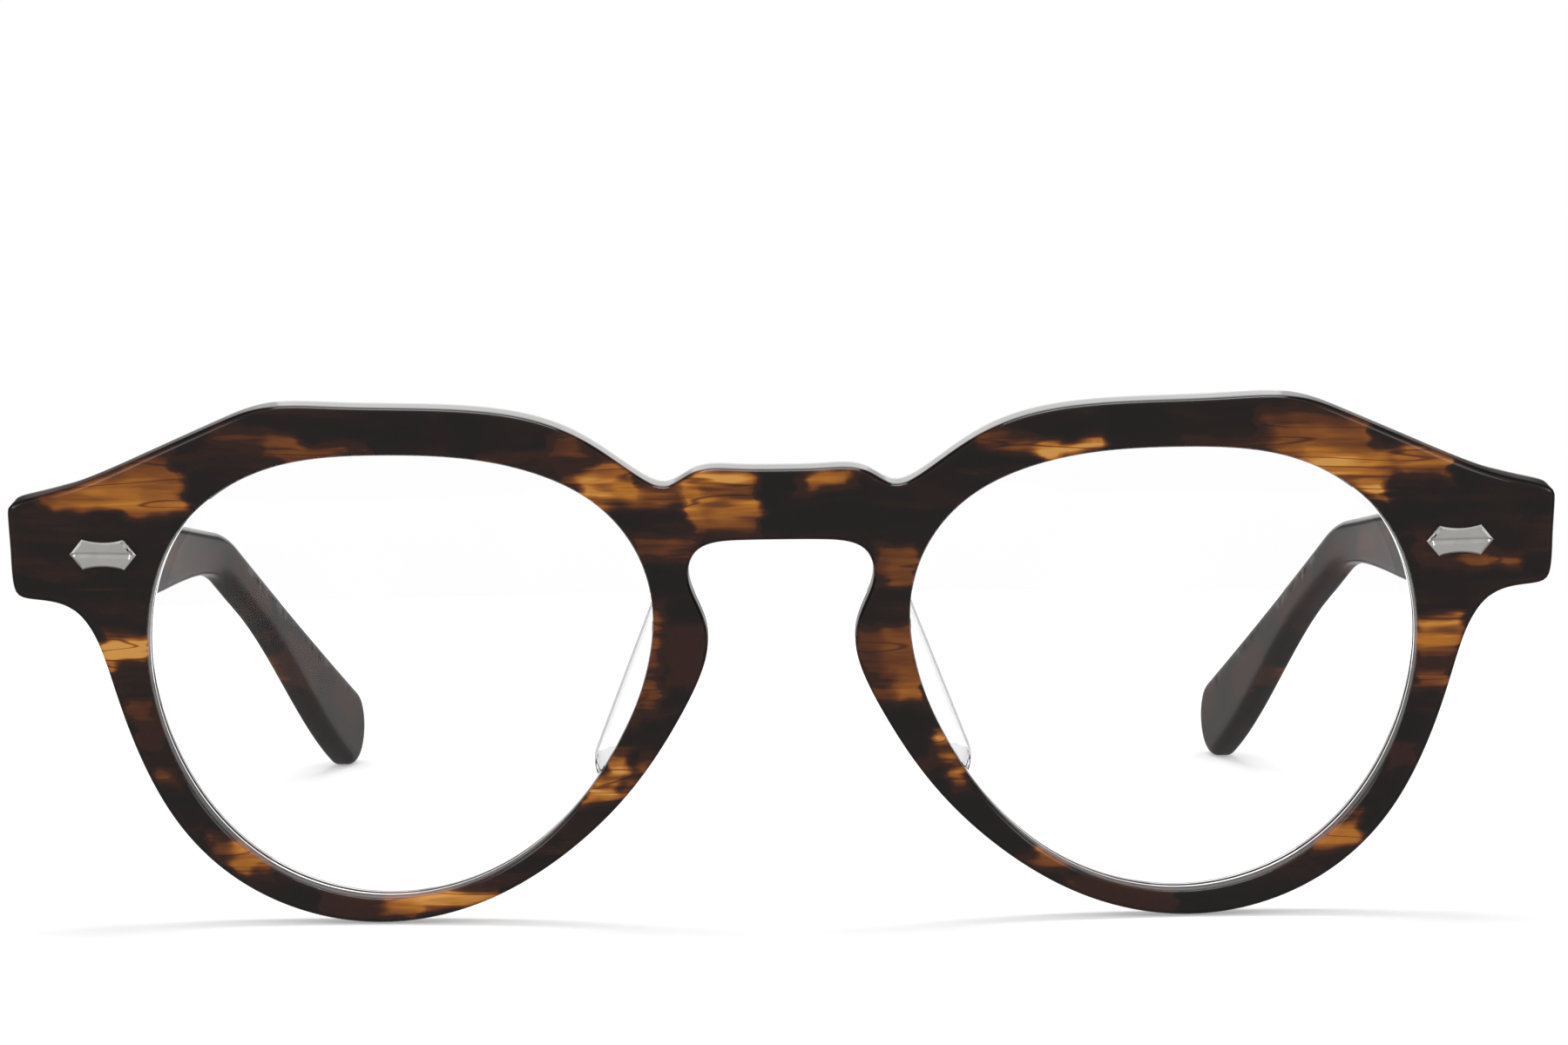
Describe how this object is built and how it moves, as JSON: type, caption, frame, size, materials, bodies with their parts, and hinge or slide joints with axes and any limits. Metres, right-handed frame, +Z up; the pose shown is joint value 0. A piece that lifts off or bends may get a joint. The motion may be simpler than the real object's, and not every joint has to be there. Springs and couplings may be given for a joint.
{
  "type": "eyeglasses",
  "caption": "Acetate eyeglasses with round clear lenses, angular brow corners, a keyhole bridge, metal end-piece plaques and folding temples",
  "frame": {"origin": "on the surface the glasses stand on, under the middle of their bounding box", "axes": "+X towards the wearer's left, +Y backwards along the temples, +Z up"},
  "size_m": [0.1454, 0.139, 0.0501],
  "materials": {
    "front_acetate": "polished tortoiseshell acetate",
    "temple_acetate": "polished tortoiseshell acetate",
    "lens_clear": "clear, coated",
    "pad_clear": "polished crystal acetate",
    "plaque_metal": "satin nickel silver",
    "rivet_metal": "satin",
    "hinge_metal": "satin nickel silver",
    "screw_metal": "bright",
    "core_metal": "drawn wire"
  },
  "bodies": {
    "front": {"front_frame": "front_acetate", "left_lens": "lens_clear", "left_nose_pad": "pad_clear", "left_front_plaque": "plaque_metal", "left_front_rivets": "rivet_metal", "left_hinge_front_leaf": "hinge_metal", "left_hinge_screw": "screw_metal", "right_lens": "lens_clear", "right_nose_pad": "pad_clear", "right_front_plaque": "plaque_metal", "right_front_rivets": "rivet_metal", "right_hinge_front_leaf": "hinge_metal", "right_hinge_screw": "screw_metal"},
    "left_side": {"left_temple": "temple_acetate", "left_hinge_temple_leaf": "hinge_metal", "left_temple_core": "core_metal", "left_temple_rivets": "rivet_metal", "left_temple_plaque": "plaque_metal"},
    "right_side": {"right_temple": "temple_acetate", "right_hinge_temple_leaf": "hinge_metal", "right_temple_core": "core_metal", "right_temple_rivets": "rivet_metal", "right_temple_plaque": "plaque_metal"}
  },
  "joints": [
    {"name": "left_temple_fold", "type": "hinge", "parent": "front", "child": "left_side", "pos_m": [0.0662, -0.05848, 0.03645], "axis": [0, 0, 1], "range_deg": [0, 82]},
    {"name": "right_temple_fold", "type": "hinge", "parent": "front", "child": "right_side", "pos_m": [-0.0662, -0.05848, 0.03645], "axis": [0, 0, -1], "range_deg": [0, 77]}
  ]
}
